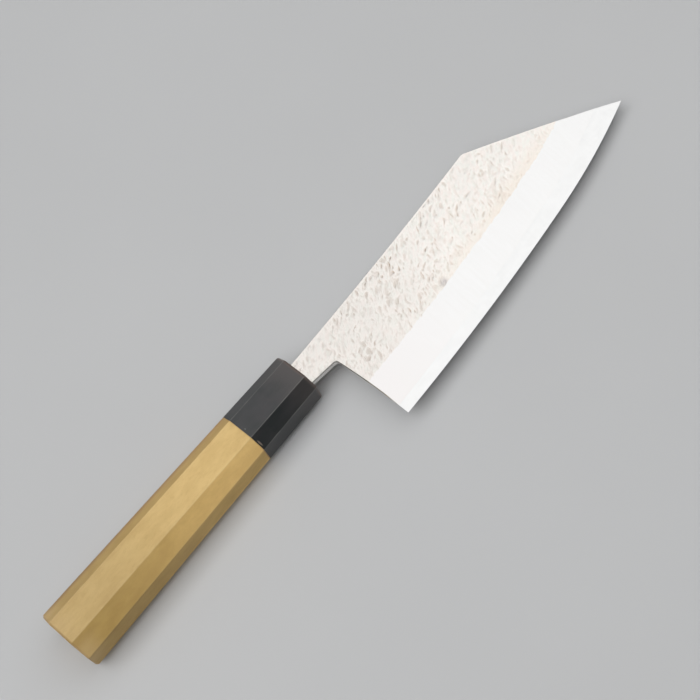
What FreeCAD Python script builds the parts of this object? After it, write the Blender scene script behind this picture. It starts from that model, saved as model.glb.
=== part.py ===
# Boning knife with a reverse-tanto point, built as its maker builds it: a three-layer
# blade (hard core between two soft claddings) whose tang runs into a wooden dowel, and an
# octagonal handle of pale wood with a horn ferrule.
#
# Frame, in millimetres: the origin is the centre of the handle's butt face, +X runs along
# the handle to the point, the cutting edge faces -Y, and the blade's middle plane is XY.
import FreeCAD, Part
import os
import Sketcher

V = FreeCAD.Vector
DOC = FreeCAD.newDocument("boning_knife")

SIZES = {
    # handle: a tapered octagon, broad facets facing +Z and -Z, narrow ones facing +Y and -Y
    "handle_length": 132.0,
    "ferrule_length": 31.4,
    "butt_width": 26.0,
    "butt_thickness": 21.8,
    "butt_flat": 13.7,
    "butt_side": 7.3,
    "front_width": 20.8,
    "front_thickness": 17.5,
    "front_flat": 11.9,
    "front_side": 7.0,
    "butt_chamfer": 0.9,
    "ferrule_chamfer": 1.0,
    "planing_allowance": 0.1,
    # dowel that joins ferrule and body, and holds the tang
    "dowel_diameter": 11.0,
    "dowel_depth": 60.0,
    "ferrule_wall": 8.0,
    "dowel_end_gap": 0.6,
    "glue_gap": 0.1,
    # tang, from the ferrule's front face inwards
    "tang_length": 80.0,
    "tang_root_width": 8.4,
    "tang_end_width": 5.0,
    "tang_end_thickness": 1.6,
    "tang_clearance": 0.15,
    "neck_inset": 6.0,
    "mouth_gap": 0.5,
    "seal_clearance": 0.05,
    # blade outline, from the heel forwards
    "neck_length": 13.8,
    "neck_above": 5.75,
    "neck_below": 6.25,
    "blade_length": 150.5,
    "heel_drop": 43.75,
    "tip_drop": 26.5,
    "flat_run": 100.3,
    "flat_radius": 1079.0,
    "belly_radius": 285.0,
    "point_radius": 1000.0,
    "corner_run": 95.6,
    "corner_rise": 10.35,
    "corner_radius": 3.0,
    "spine_radius": 1950.0,
    "choil_offset": 0.5,
    "choil_drop": 7.75,
    "choil_radius": 1.8,
    "heel_radius": 520.0,
    # blade section
    "heel_thickness": 2.8,
    "corner_thickness": 2.0,
    "core_thickness": 0.69,
    "bevel_width": 20.4,
    "bevel_run_out": 0.8,
    "spine_easing": 0.3,
}

SHEET = DOC.addObject("Spreadsheet::Sheet", "Sizes")
for row, (alias, value) in enumerate(SIZES.items(), start=1):
    SHEET.set(f"A{row}", alias)
    SHEET.set(f"B{row}", str(value))
    SHEET.setAlias(f"B{row}", alias)
DOC.recompute()


def cell(alias):
    """The number that the sheet holds now."""
    return float(SHEET.get(alias))


def bind(thing, path, expression):
    """Ties a property or a named constraint to the sheet; a bare word is one of its cells."""
    words = []
    for word in expression.split():
        words.append("Sizes." + word if word in SIZES else word)
    thing.setExpression(path, " ".join(words))


# Places along X and thicknesses that several pieces share, as expressions over the sheet.
JOINT_X = "( handle_length - ferrule_length )"
TANG_END_X = "( handle_length - tang_length )"
SHOULDER_X = "( handle_length - neck_inset )"
HEEL_X = "( handle_length + neck_length )"
TIP_X = "( handle_length + neck_length + blade_length )"
TAPER = "( ( heel_thickness - corner_thickness ) / 2 / corner_run )"
SHOULDER_THICKNESS = ("( tang_end_thickness + ( heel_thickness - tang_end_thickness ) * "
                      "( tang_length - neck_inset ) / ( tang_length + neck_length ) )")
MOUTH_THICKNESS = ("( tang_end_thickness + ( heel_thickness - tang_end_thickness ) * "
                   "tang_length / ( tang_length + neck_length ) )")

# Sketches are first drawn roughly and their constraints then move every point into place.
# These shares serve the rough drawing, and the last two the constraints as well.
FLAT_RISE = 0.36    # of the edge's rise from heel to tip, the share that its flat stretch takes
CORNER_END = (0.25, 0.17)   # radii ahead of and below the corner, where its rounding ends
CORNER_START = 0.3  # radii behind the corner, where its rounding starts
CHOIL_START = 0.1   # radii above the choil's depth, where the neck's lower line meets it


# ---------------------------------------------------------------- sketch helpers

def new_body(name):
    body = DOC.addObject("PartDesign::Body", name)
    body.Label = name
    DOC.recompute()
    return body


def new_sketch(body, name, plane, height="0", tilt="0"):
    """A sketch on one of the body's own planes, raised along its normal and tilted about
    its second axis."""
    sketch = body.newObject("Sketcher::SketchObject", name)
    role = [item for item in body.Origin.OriginFeatures if item.Role == plane + "_Plane"][0]
    sketch.AttachmentSupport = (role, "")
    sketch.MapMode = "FlatFace"
    if tilt != "0":
        sketch.AttachmentOffset = FreeCAD.Placement(V(0, 0, 0), FreeCAD.Rotation(V(0, 1, 0), 1.0))
        bind(sketch, "AttachmentOffset.Rotation.Angle", tilt)
    bind(sketch, "AttachmentOffset.Base.z", height)
    return sketch


def line(sketch, start, end):
    return sketch.addGeometry(Part.LineSegment(V(*start, 0), V(*end, 0)), False)


def bow(sketch, start, end, radius, side, guide=False):
    """An arc from start to end; side +1 bulges to the left of the way from start to end."""
    a, b = V(*start, 0), V(*end, 0)
    chord = b - a
    sag = radius - (radius ** 2 - (chord.Length / 2) ** 2) ** 0.5
    left = V(-chord.y, chord.x, 0).normalize()
    middle = (a + b) * 0.5 + left * (sag * side)
    return sketch.addGeometry(Part.Arc(a, middle, b), guide)


def end_near(sketch, item, point):
    """Which end of a line or arc, 1 or 2, lies nearest to a point."""
    target = V(*point, 0)
    gaps = [(sketch.getPoint(item, end) - target).Length for end in (1, 2)]
    return 1 if gaps[0] <= gaps[1] else 2


def drawn_size(sketch, kind, places):
    """A dimension as it is drawn so far."""
    if kind in ("Radius", "Diameter"):
        radius = sketch.Geometry[places[0]].Radius
        return radius if kind == "Radius" else 2 * radius
    gap = sketch.getPoint(*places[2:]) - sketch.getPoint(*places[:2])
    return gap.x if kind == "DistanceX" else gap.y


def size(sketch, kind, places, expression):
    """A dimension that follows the sheet; places are the sketch items it is taken between."""
    drawn = drawn_size(sketch, kind, places)
    index = sketch.addConstraint(Sketcher.Constraint(kind, *places, drawn))
    name = f"{kind.lower()}_{index}"
    sketch.renameConstraint(index, name)
    bind(sketch, "Constraints." + name, expression)


def right_of_origin(sketch, item, end, expression):
    size(sketch, "DistanceX", (-1, 1, item, end), expression)


def above_origin(sketch, item, end, expression):
    size(sketch, "DistanceY", (-1, 1, item, end), expression)


def below_origin(sketch, item, end, expression):
    size(sketch, "DistanceY", (item, end, -1, 1), expression)


def meet(sketch, first, second, point, smooth=False):
    """Joins two items where their ends lie nearest to a point."""
    kind = "Tangent" if smooth else "Coincident"
    ends = (first, end_near(sketch, first, point), second, end_near(sketch, second, point))
    sketch.addConstraint(Sketcher.Constraint(kind, *ends))


def rectangle(sketch, half_wide, half_high):
    """A rectangle centred on the sketch's origin."""
    w, h = 4.0, 2.0
    corners = [(-w, -h), (w, -h), (w, h), (-w, h)]
    sides = [line(sketch, corners[i], corners[(i + 1) % 4]) for i in range(4)]
    for i in range(4):
        sketch.addConstraint(Sketcher.Constraint("Coincident", sides[i], 2, sides[(i + 1) % 4], 1))
        level = "Horizontal" if i % 2 == 0 else "Vertical"
        sketch.addConstraint(Sketcher.Constraint(level, sides[i]))
    sketch.addConstraint(Sketcher.Constraint("Symmetric", sides[0], 1, sides[2], 1, -1, 1))
    size(sketch, "DistanceX", (sides[0], 1, sides[0], 2), f"2 * {half_wide}")
    size(sketch, "DistanceY", (sides[1], 1, sides[1], 2), f"2 * {half_high}")


def circle(sketch, diameter):
    ring = sketch.addGeometry(Part.Circle(V(0, 0, 0), V(0, 0, 1), 5.0), False)
    sketch.addConstraint(Sketcher.Constraint("Coincident", ring, 3, -1, 1))
    size(sketch, "Diameter", (ring,), diameter)


def pad(body, name, sketch, length, both_ways=False):
    feature = body.newObject("PartDesign::Pad", name)
    feature.Profile = sketch
    feature.Midplane = both_ways
    bind(feature, "Length", length)
    return feature


def pocket(body, name, sketch, depth, reverse):
    """A pocket that cuts along the sketch's normal, or against it when reverse is False."""
    feature = body.newObject("PartDesign::Pocket", name)
    feature.Profile = sketch
    feature.Reversed = reverse
    bind(feature, "Length", depth)
    return feature


def loft(body, name, start, end, cut=False):
    """Straight faces between two sections. It runs from the end section back to the start,
    against their normals, which is the way that leaves the solid the right side out."""
    kind = "PartDesign::SubtractiveLoft" if cut else "PartDesign::AdditiveLoft"
    feature = body.newObject(kind, name)
    feature.Profile = end
    feature.Sections = [start]
    feature.Ruled = True
    return feature


def cut_across(body, name, sketch):
    """Cuts a side profile away through the whole width of the body."""
    feature = body.newObject("PartDesign::Pocket", name)
    feature.Profile = sketch
    feature.Type = "ThroughAll"
    feature.Midplane = True


def chamfer(body, name, base, edges, depth):
    feature = body.newObject("PartDesign::Chamfer", name)
    feature.Base = (base, edges)
    bind(feature, "Size", depth)
    return feature


def edges_where(feature, test):
    """Names of a feature's edges whose middle and direction pass a test."""
    names = []
    for number, edge in enumerate(feature.Shape.Edges, start=1):
        middle = edge.valueAt((edge.FirstParameter + edge.LastParameter) / 2)
        way = edge.tangentAt((edge.FirstParameter + edge.LastParameter) / 2)
        if test(middle, way):
            names.append(f"Edge{number}")
    return names


# ---------------------------------------------------------------- handle

def octagon(body, name, place):
    """The handle's section at a place along X, before its broad facets are planed: four
    sizes, each running evenly from butt to front."""
    def at(end):
        return f"( butt_{end} + ( front_{end} - butt_{end} ) * {place} / handle_length )"
    sketch = new_sketch(body, name, "YZ", height=place)
    y, z, flat, side = 12.0, 10.0, 6.0, 3.5
    corners = [(flat, -z), (y, -side), (y, side), (flat, z),
               (-flat, z), (-y, side), (-y, -side), (-flat, -z)]
    facets = [line(sketch, corners[i], corners[(i + 1) % 8]) for i in range(8)]
    for i in range(8):
        sketch.addConstraint(Sketcher.Constraint("Coincident", facets[i], 2, facets[(i + 1) % 8], 1))
    for facet in (1, 5):
        sketch.addConstraint(Sketcher.Constraint("Symmetric", facets[facet], 1, facets[facet], 2, -1))
    for facet in (3, 7):
        sketch.addConstraint(Sketcher.Constraint("Symmetric", facets[facet], 1, facets[facet], 2, -2))
    right_of_origin(sketch, facets[1], 1, f"{at('width')} / 2")
    size(sketch, "DistanceX", (facets[5], 1, -1, 1), f"{at('width')} / 2")
    above_origin(sketch, facets[3], 1, f"( {at('thickness')} + planing_allowance ) / 2")
    below_origin(sketch, facets[7], 1, f"( {at('thickness')} + planing_allowance ) / 2")
    above_origin(sketch, facets[1], 2, f"{at('side')} / 2")
    size(sketch, "DistanceY", (facets[5], 2, facets[5], 1), at("side"))
    right_of_origin(sketch, facets[3], 1, f"{at('flat')} / 2")
    size(sketch, "DistanceX", (facets[7], 1, facets[7], 2), at("flat"))
    return sketch


def planed_facets(body):
    """Planes the two broad facets true, on one line from the butt to the front."""
    sketch = new_sketch(body, "side_profile", "XZ")
    over, clear = 3.0, 20.0   # how far the cuts reach past the handle's ends and outside
    front = cell("handle_length")
    fall = "( butt_thickness - front_thickness ) / handle_length"
    for way in (1, -1):
        height = above_origin if way == 1 else below_origin
        thick, thin = way * cell("butt_thickness") / 2, way * cell("front_thickness") / 2
        corners = [(-over, thick), (front + over, thin), (front + over, way * clear),
                   (-over, way * clear)]
        sides = [line(sketch, corners[i], corners[(i + 1) % 4]) for i in range(4)]
        for i in range(4):
            sketch.addConstraint(Sketcher.Constraint("Coincident", sides[i], 2, sides[(i + 1) % 4], 1))
        sketch.addConstraint(Sketcher.Constraint("Vertical", sides[1]))
        sketch.addConstraint(Sketcher.Constraint("Horizontal", sides[2]))
        sketch.addConstraint(Sketcher.Constraint("Vertical", sides[3]))
        size(sketch, "DistanceX", (sides[0], 1, -1, 1), f"{over}")
        right_of_origin(sketch, sides[0], 2, f"handle_length + {over}")
        height(sketch, sides[0], 1, f"( butt_thickness + {fall} * {over} ) / 2")
        height(sketch, sides[0], 2, f"( front_thickness - {fall} * {over} ) / 2")
        height(sketch, sides[2], 1, f"{clear}")
    cut_across(body, "planed_facets", sketch)
    return body.Tip


def make_handle_body():
    body = new_body("handle_body")
    loft(body, "tapered_octagon", octagon(body, "butt", "0"), octagon(body, "joint", JOINT_X))
    wood = planed_facets(body)
    DOC.recompute()
    rim = edges_where(wood, lambda middle, way: abs(middle.x) < 0.01)
    chamfer(body, "butt_rim", wood, rim, "butt_chamfer")
    mouth = new_sketch(body, "dowel_bore_mouth", "YZ", height=JOINT_X)
    circle(mouth, "dowel_diameter + 2 * glue_gap")
    pocket(body, "dowel_bore", mouth, "dowel_depth", reverse=False)
    return body


def make_ferrule():
    body = new_body("ferrule")
    joint, front_face = octagon(body, "joint", JOINT_X), octagon(body, "front", "handle_length")
    loft(body, "tapered_octagon", joint, front_face)
    horn = planed_facets(body)
    DOC.recompute()
    front = cell("handle_length")
    rim = edges_where(horn, lambda middle, way: abs(middle.x - front) < 0.01)
    chamfer(body, "front_rim", horn, rim, "ferrule_chamfer")
    bore = new_sketch(body, "dowel_bore_mouth", "YZ", height=JOINT_X)
    circle(bore, "dowel_diameter + 2 * glue_gap")
    pocket(body, "dowel_bore", bore, "ferrule_length - ferrule_wall", reverse=True)
    mouth = new_sketch(body, "mouth_outline", "YZ", height="handle_length")
    neck_slot(mouth, "mouth_gap")
    pocket(body, "mouth", mouth, "ferrule_wall", reverse=False)
    return body


def neck_slot(sketch, gap):
    """The neck's section at the ferrule, grown by a gap all round."""
    corners = [(-7, -2), (6, -2), (6, 2), (-7, 2)]
    sides = [line(sketch, corners[i], corners[(i + 1) % 4]) for i in range(4)]
    for i in range(4):
        sketch.addConstraint(Sketcher.Constraint("Coincident", sides[i], 2, sides[(i + 1) % 4], 1))
        level = "Horizontal" if i % 2 == 0 else "Vertical"
        sketch.addConstraint(Sketcher.Constraint(level, sides[i]))
    size(sketch, "DistanceX", (sides[0], 1, -1, 1), f"neck_below + {gap}")
    right_of_origin(sketch, sides[1], 1, f"neck_above + {gap}")
    below_origin(sketch, sides[0], 1, f"{MOUTH_THICKNESS} / 2 + {gap}")
    above_origin(sketch, sides[2], 1, f"{MOUTH_THICKNESS} / 2 + {gap}")


def make_mouth_seal():
    """Resin packed round the neck, flush with the ferrule's front face."""
    body = new_body("mouth_seal")
    outside = new_sketch(body, "outside", "YZ", height=SHOULDER_X)
    neck_slot(outside, "mouth_gap")
    pad(body, "plug", outside, "neck_inset")
    inside = new_sketch(body, "inside", "YZ", height="handle_length")
    neck_slot(inside, "seal_clearance")
    pocket(body, "neck_hole", inside, "neck_inset", reverse=False)
    return body


def make_dowel():
    """Round dowel in both bores, with a slot that narrows as the tang does."""
    body = new_body("tang_dowel")
    start = f"{JOINT_X} - dowel_depth + dowel_end_gap"
    end_face = new_sketch(body, "end_face", "YZ", height=start)
    circle(end_face, "dowel_diameter")
    length = "( dowel_depth - dowel_end_gap + ferrule_length - ferrule_wall - dowel_end_gap )"
    pad(body, "rod", end_face, length)
    wide = new_sketch(body, "slot_mouth", "YZ", height=SHOULDER_X)
    rectangle(wide, "( tang_root_width / 2 + tang_clearance )",
              f"( {SHOULDER_THICKNESS} / 2 + tang_clearance )")
    narrow = new_sketch(body, "slot_end", "YZ", height=f"{TANG_END_X} - tang_clearance")
    rectangle(narrow, "( tang_end_width / 2 + tang_clearance )",
              "( tang_end_thickness / 2 + tang_clearance )")
    loft(body, "tang_slot", narrow, wide, cut=True)
    return body


# ---------------------------------------------------------------- blade

def outline_points():
    """Where the corners of the blade's outline lie, from the sheet."""
    front = cell("handle_length")
    heel = front + cell("neck_length")
    flat_end = heel + cell("flat_run")
    rise = cell("heel_drop") - cell("tip_drop")
    return {
        "tang_end": (front - cell("tang_length"), cell("tang_end_width") / 2),
        "shoulder": (front - cell("neck_inset"), cell("tang_root_width") / 2),
        "neck_top": (front, cell("neck_above")),
        "neck_low": (front, -cell("neck_below")),
        "choil": (heel - cell("choil_offset"), -cell("choil_drop")),
        "heel": (heel, -cell("heel_drop")),
        "flat_end": (flat_end, -cell("heel_drop") + FLAT_RISE * rise),
        "tip": (heel + cell("blade_length"), -cell("tip_drop")),
        "corner": (heel + cell("corner_run"), cell("corner_rise")),
    }


def cutting_edge(sketch, points, guide=False):
    """The long flat stretch and the belly: two arcs that flow into each other."""
    flat = bow(sketch, points["heel"], points["flat_end"], cell("flat_radius"), -1, guide)
    belly = bow(sketch, points["flat_end"], points["tip"], cell("belly_radius"), -1, guide)
    meet(sketch, flat, belly, points["flat_end"], smooth=True)
    heel_end = end_near(sketch, flat, points["heel"])
    tip_end = end_near(sketch, belly, points["tip"])
    right_of_origin(sketch, flat, heel_end, HEEL_X)
    below_origin(sketch, flat, heel_end, "heel_drop")
    right_of_origin(sketch, belly, tip_end, TIP_X)
    below_origin(sketch, belly, tip_end, "tip_drop")
    right_of_origin(sketch, flat, 3 - heel_end, f"{HEEL_X} + flat_run")
    size(sketch, "Radius", (flat,), "flat_radius")
    size(sketch, "Radius", (belly,), "belly_radius")
    return flat, belly


def blade_outline(body, name, height="0"):
    """Tang, neck, spine, clipped point, cutting edge, heel and choil as one closed line."""
    sketch = new_sketch(body, name, "XY", height=height)
    p = outline_points()
    flat, belly = cutting_edge(sketch, p)
    tx, ty = p["tang_end"]
    sx, sy = p["shoulder"]
    nx, top = p["neck_top"]
    low = p["neck_low"][1]
    cx, cy = p["corner"]
    hx, hy = p["choil"]
    r, q = cell("corner_radius"), cell("choil_radius")
    before = (cx - CORNER_START * r, cy)
    after = (cx + CORNER_END[0] * r, cy - CORNER_END[1] * r)
    above, under = (hx - q, hy + CHOIL_START * q), (hx, hy - q)

    tang_top = line(sketch, (tx, ty), (sx, sy))
    shoulder_top = line(sketch, (sx, sy), (sx, top))
    neck_top = line(sketch, (sx, top), (nx, top))
    spine = bow(sketch, (nx, top), before, cell("spine_radius"), -1)
    corner = bow(sketch, before, after, r, 1)
    point = bow(sketch, after, p["tip"], cell("point_radius"), 1)
    heel = bow(sketch, p["heel"], under, cell("heel_radius"), -1)
    choil = bow(sketch, under, above, q, -1)
    neck_low = line(sketch, above, (nx, low))
    inset_low = line(sketch, (nx, low), (sx, low))
    shoulder_low = line(sketch, (sx, low), (sx, -sy))
    tang_low = line(sketch, (sx, -sy), (tx, -ty))
    tang_end = line(sketch, (tx, -ty), (tx, ty))

    meet(sketch, tang_top, shoulder_top, (sx, sy))
    meet(sketch, shoulder_top, neck_top, (sx, top))
    meet(sketch, neck_top, spine, (nx, top))
    meet(sketch, spine, corner, before, smooth=True)
    meet(sketch, corner, point, after, smooth=True)
    meet(sketch, point, belly, p["tip"])
    meet(sketch, flat, heel, p["heel"])
    meet(sketch, heel, choil, under, smooth=True)
    meet(sketch, choil, neck_low, above, smooth=True)
    meet(sketch, neck_low, inset_low, (nx, low))
    meet(sketch, inset_low, shoulder_low, (sx, low))
    meet(sketch, shoulder_low, tang_low, (sx, -sy))
    meet(sketch, tang_low, tang_end, (tx, -ty))
    meet(sketch, tang_end, tang_top, (tx, ty))
    for item in (shoulder_top, shoulder_low):
        sketch.addConstraint(Sketcher.Constraint("Vertical", item))
    for item in (neck_top, inset_low):
        sketch.addConstraint(Sketcher.Constraint("Horizontal", item))
    sketch.addConstraint(Sketcher.Constraint("Symmetric", tang_end, 1, tang_end, 2, -1))

    right_of_origin(sketch, tang_top, 1, TANG_END_X)
    above_origin(sketch, tang_top, 1, "tang_end_width / 2")
    right_of_origin(sketch, tang_top, 2, SHOULDER_X)
    above_origin(sketch, tang_top, 2, "tang_root_width / 2")
    below_origin(sketch, tang_low, 1, "tang_root_width / 2")
    right_of_origin(sketch, shoulder_low, 1, SHOULDER_X)
    right_of_origin(sketch, neck_top, 2, "handle_length")
    above_origin(sketch, neck_top, 2, "neck_above")
    right_of_origin(sketch, inset_low, 1, "handle_length")
    below_origin(sketch, inset_low, 1, "neck_below")
    size(sketch, "Radius", (spine,), "spine_radius")
    size(sketch, "Radius", (corner,), "corner_radius")
    size(sketch, "Radius", (point,), "point_radius")
    size(sketch, "Radius", (heel,), "heel_radius")
    size(sketch, "Radius", (choil,), "choil_radius")
    spine_front = end_near(sketch, spine, before)
    right_of_origin(sketch, spine, spine_front, f"{HEEL_X} + corner_run - {CORNER_START} * corner_radius")
    above_origin(sketch, spine, spine_front, "corner_rise")
    neck_back = end_near(sketch, choil, above)
    size(sketch, "DistanceX", (choil, neck_back, flat, end_near(sketch, flat, p["heel"])),
         "choil_offset + choil_radius")
    below_origin(sketch, choil, neck_back, f"choil_drop - {CHOIL_START} * choil_radius")
    return sketch


def beside_edge(body, name, inward, near, height, tilt="0"):
    """Everything on the edge side of a line that runs parallel to the cutting edge, at a
    distance inward from it, on a plane at a height above the blade's middle. near is that
    distance as a number, for the rough drawing."""
    sketch = new_sketch(body, name, "XY", height=height, tilt=tilt)
    p = outline_points()
    back, ahead, deep = 10.0, 12.0, 90.0   # how far it reaches past the heel, tip and edge
    guide_flat, guide_belly = cutting_edge(sketch, p, guide=True)
    left, right = p["heel"][0] - back, p["tip"][0] + ahead
    start = (left, p["heel"][1] + near)
    middle = (p["flat_end"][0], p["flat_end"][1] + near)
    finish = (right, p["tip"][1] + near)
    flat = bow(sketch, start, middle, cell("flat_radius") - near, -1)
    belly = bow(sketch, middle, finish, cell("belly_radius") - near, -1)
    side = line(sketch, finish, (right, -deep))
    foot = line(sketch, (right, -deep), (left, -deep))
    rear = line(sketch, (left, -deep), start)
    meet(sketch, flat, belly, middle, smooth=True)
    meet(sketch, belly, side, finish)
    meet(sketch, side, foot, (right, -deep))
    meet(sketch, foot, rear, (left, -deep))
    meet(sketch, rear, flat, start)
    sketch.addConstraint(Sketcher.Constraint("Coincident", flat, 3, guide_flat, 3))
    sketch.addConstraint(Sketcher.Constraint("Coincident", belly, 3, guide_belly, 3))
    size(sketch, "Radius", (flat,), f"flat_radius - ( {inward} )")
    for item in (side, rear):
        sketch.addConstraint(Sketcher.Constraint("Vertical", item))
    sketch.addConstraint(Sketcher.Constraint("Horizontal", foot))
    right_of_origin(sketch, rear, 1, f"{HEEL_X} - {back}")
    right_of_origin(sketch, side, 1, f"{TIP_X} + {ahead}")
    below_origin(sketch, foot, 1, f"{deep}")
    return sketch


def ground_bevel(body):
    """The wide bevel, ground down until the hard core comes out beside the edge: a ruled
    face from the blade's middle plane, just outside the edge, through the bevel line on the
    blade's side, which falls towards the point as the blade is forged thinner."""
    low = beside_edge(body, "bevel_low", "0 - bevel_run_out", -cell("bevel_run_out"), "0")
    high = beside_edge(body, "bevel_high", "2 * bevel_width + bevel_run_out",
                       2 * cell("bevel_width") + cell("bevel_run_out"),
                       f"heel_thickness + 2 * {TAPER} * {HEEL_X}", f"atan( 2 * {TAPER} )")
    return loft(body, "ground_bevel", low, high, cut=True)


def repeat_on_other_side(body, cut):
    """Mirrors a cut in the blade's middle plane."""
    DOC.recompute()
    mirrored = body.newObject("PartDesign::Mirrored", "other_side")
    mirrored.Originals = [cut]
    middle = [item for item in body.Origin.OriginFeatures if item.Role == "XY_Plane"][0]
    mirrored.MirrorPlane = (middle, [""])
    body.Tip = mirrored


def make_core():
    body = new_body("blade_core")
    pad(body, "plate", blade_outline(body, "outline"), "core_thickness", both_ways=True)
    repeat_on_other_side(body, ground_bevel(body))
    return body


def side_height(x):
    """Half the blade's thickness at a place along X."""
    heel = cell("handle_length") + cell("neck_length")
    if x > heel:
        fall = (cell("heel_thickness") - cell("corner_thickness")) / 2 / cell("corner_run")
    else:
        fall = (cell("tang_end_thickness") - cell("heel_thickness")) / 2 / (cell("tang_length")
                                                                             + cell("neck_length"))
    return cell("heel_thickness") / 2 - fall * (x - heel)


def forged_taper(body):
    """Trims the cladding's outside: thickest at the heel, thinner towards point and tang."""
    sketch = new_sketch(body, "side_profile", "XZ")
    tang, heel = cell("handle_length") - cell("tang_length"), cell("handle_length") + cell("neck_length")
    tip = heel + cell("blade_length")
    over, clear = 3.0, 8.0   # how far the cut reaches past the cladding's ends and outside
    thin, thick = cell("tang_end_thickness") / 2, cell("heel_thickness") / 2
    corners = [(tang - over, thin), (tang, thin), (heel, thick), (tip + over, thin),
               (tip + over, clear), (tang - over, clear)]
    sides = [line(sketch, corners[i], corners[(i + 1) % 6]) for i in range(6)]
    for i in range(6):
        sketch.addConstraint(Sketcher.Constraint("Coincident", sides[i], 2, sides[(i + 1) % 6], 1))
    for item in (sides[0], sides[4]):
        sketch.addConstraint(Sketcher.Constraint("Horizontal", item))
    for item in (sides[3], sides[5]):
        sketch.addConstraint(Sketcher.Constraint("Vertical", item))
    right_of_origin(sketch, sides[0], 1, f"{TANG_END_X} - {over}")
    right_of_origin(sketch, sides[1], 1, TANG_END_X)
    above_origin(sketch, sides[1], 1, "tang_end_thickness / 2")
    right_of_origin(sketch, sides[2], 1, HEEL_X)
    above_origin(sketch, sides[2], 1, "heel_thickness / 2")
    right_of_origin(sketch, sides[3], 1, f"{TIP_X} + {over}")
    above_origin(sketch, sides[3], 1, f"heel_thickness / 2 - {TAPER} * ( blade_length + {over} )")
    above_origin(sketch, sides[4], 1, f"{clear}")
    cut_across(body, "forged_taper", sketch)


def make_cladding():
    body = new_body("cladding_left")
    outline = blade_outline(body, "outline", height="core_thickness / 2")
    pad(body, "plate", outline, "heel_thickness / 2")
    forged_taper(body)
    bevel = ground_bevel(body)
    DOC.recompute()
    choil_low = -cell("choil_drop") - cell("choil_radius")

    def upper_rim(middle, way):
        """Edges of the flat side above the heel, but not the ridge that crosses it there."""
        on_side = abs(middle.z - side_height(middle.x)) < 0.01
        crosswise = abs(way.y) > 0.95
        return on_side and not crosswise and middle.y > choil_low

    chamfer(body, "eased_rim", bevel, edges_where(bevel, upper_rim), "spine_easing")
    return body


def mirror_cladding(left):
    right = DOC.addObject("Part::Mirroring", "cladding_right")
    right.Label = "cladding_right"
    right.Source = left
    right.Base = V(0, 0, 0)
    right.Normal = V(0, 0, 1)
    return right


# ---------------------------------------------------------------- build, test, write

LEFT = make_cladding()
PIECES = [make_core(), LEFT, mirror_cladding(LEFT), make_ferrule(), make_handle_body(), make_dowel(),
          make_mouth_seal()]
DOC.recompute()

for item in DOC.Objects:
    if "Invalid" in item.State or "Error" in item.State:
        raise RuntimeError(f"{item.Name} failed: {item.State}")
    if item.TypeId == "Sketcher::SketchObject" and item.solve() != 0:
        raise RuntimeError(f"{item.Name} in {item.getParentGeoFeatureGroup().Label} is not solved")

os.makedirs("parts", exist_ok=True)
for piece in PIECES:
    shape = piece.Shape
    if shape.isNull() or not shape.isValid() or len(shape.Solids) != 1:
        raise RuntimeError(f"{piece.Label} is not one valid solid")
    shape.exportStep(f"parts/{piece.Label}.step")
    box = shape.optimalBoundingBox()
    print(f"{piece.Label}: {shape.Volume:.1f} mm3, x {box.XMin:.1f} to {box.XMax:.1f}, "
          f"y {box.YMin:.1f} to {box.YMax:.1f}, z {box.ZMin:.2f} to {box.ZMax:.2f}")
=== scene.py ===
"""Boning knife: hammered three-layer blade, octagonal wooden handle and horn ferrule.

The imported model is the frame. Blade, wood and horn are surfaces worked out here from the
same sizes, in millimetres, and put into meshes in metres.
"""
import math

import bpy
import numpy as np
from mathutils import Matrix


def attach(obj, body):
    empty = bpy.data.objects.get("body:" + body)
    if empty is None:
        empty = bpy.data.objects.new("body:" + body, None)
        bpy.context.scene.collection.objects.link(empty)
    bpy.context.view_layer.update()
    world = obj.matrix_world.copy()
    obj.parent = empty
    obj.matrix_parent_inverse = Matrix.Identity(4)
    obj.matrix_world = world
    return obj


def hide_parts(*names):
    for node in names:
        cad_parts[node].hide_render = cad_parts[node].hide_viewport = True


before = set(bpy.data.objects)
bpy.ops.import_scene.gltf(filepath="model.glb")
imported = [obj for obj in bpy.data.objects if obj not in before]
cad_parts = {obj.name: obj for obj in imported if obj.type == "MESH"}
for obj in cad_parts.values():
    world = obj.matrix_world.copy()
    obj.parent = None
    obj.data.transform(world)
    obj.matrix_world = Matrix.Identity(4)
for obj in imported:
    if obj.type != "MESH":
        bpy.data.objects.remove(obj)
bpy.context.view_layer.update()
MM = 0.001

# ------------------------------------------------------------------ sizes, in millimetres
HANDLE_LENGTH = 132.0
JOINT_X = 100.6
BUTT = {"width": 26.0, "thickness": 21.8, "flat": 13.7, "side": 7.3}
FRONT = {"width": 20.8, "thickness": 17.5, "flat": 11.9, "side": 7.0}
BORE_RADIUS = 5.6
BODY_BORE_END = 40.6
FERRULE_BORE_END, SLOT_REAR = 124.0, 128.0
MOUTH = (-6.75, 6.25, 1.812)        # the ferrule's slot: low side, high side, half width

TANG_END, SHOULDER = 52.0, 126.0
TANG_HALF, TANG_GROWTH = 2.5, 1.7   # half its width at the end, and what that gains
NECK_TOP, NECK_LOW = 5.75, -6.25
HEEL = np.array([145.8, -43.75])
POINT = np.array([296.3, -26.5])
FLAT_END = 246.1
FLAT_RADIUS, BELLY_RADIUS = 1079.0, 285.0
CORNER_START = np.array([240.5, 10.35])
CORNER_RADIUS, SPINE_RADIUS, CLIP_RADIUS = 3.0, 1950.0, 1000.0
CHOIL_START = np.array([143.5, -7.57])
CHOIL_RADIUS, HEEL_RADIUS = 1.8, 520.0
CORE = 0.345            # half the core's thickness
HALF_AT_HEEL = 1.4      # half the blade's thickness at the heel
TAPER_AHEAD, TAPER_BEHIND = 0.4 / 95.6, 0.6 / 93.8      # what it loses a millimetre
BEVEL, RUN_OUT = 20.4, 0.8
RIM = 0.3               # eased rim round the cladding
THIN = 0.02             # least width of that rim
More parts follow.
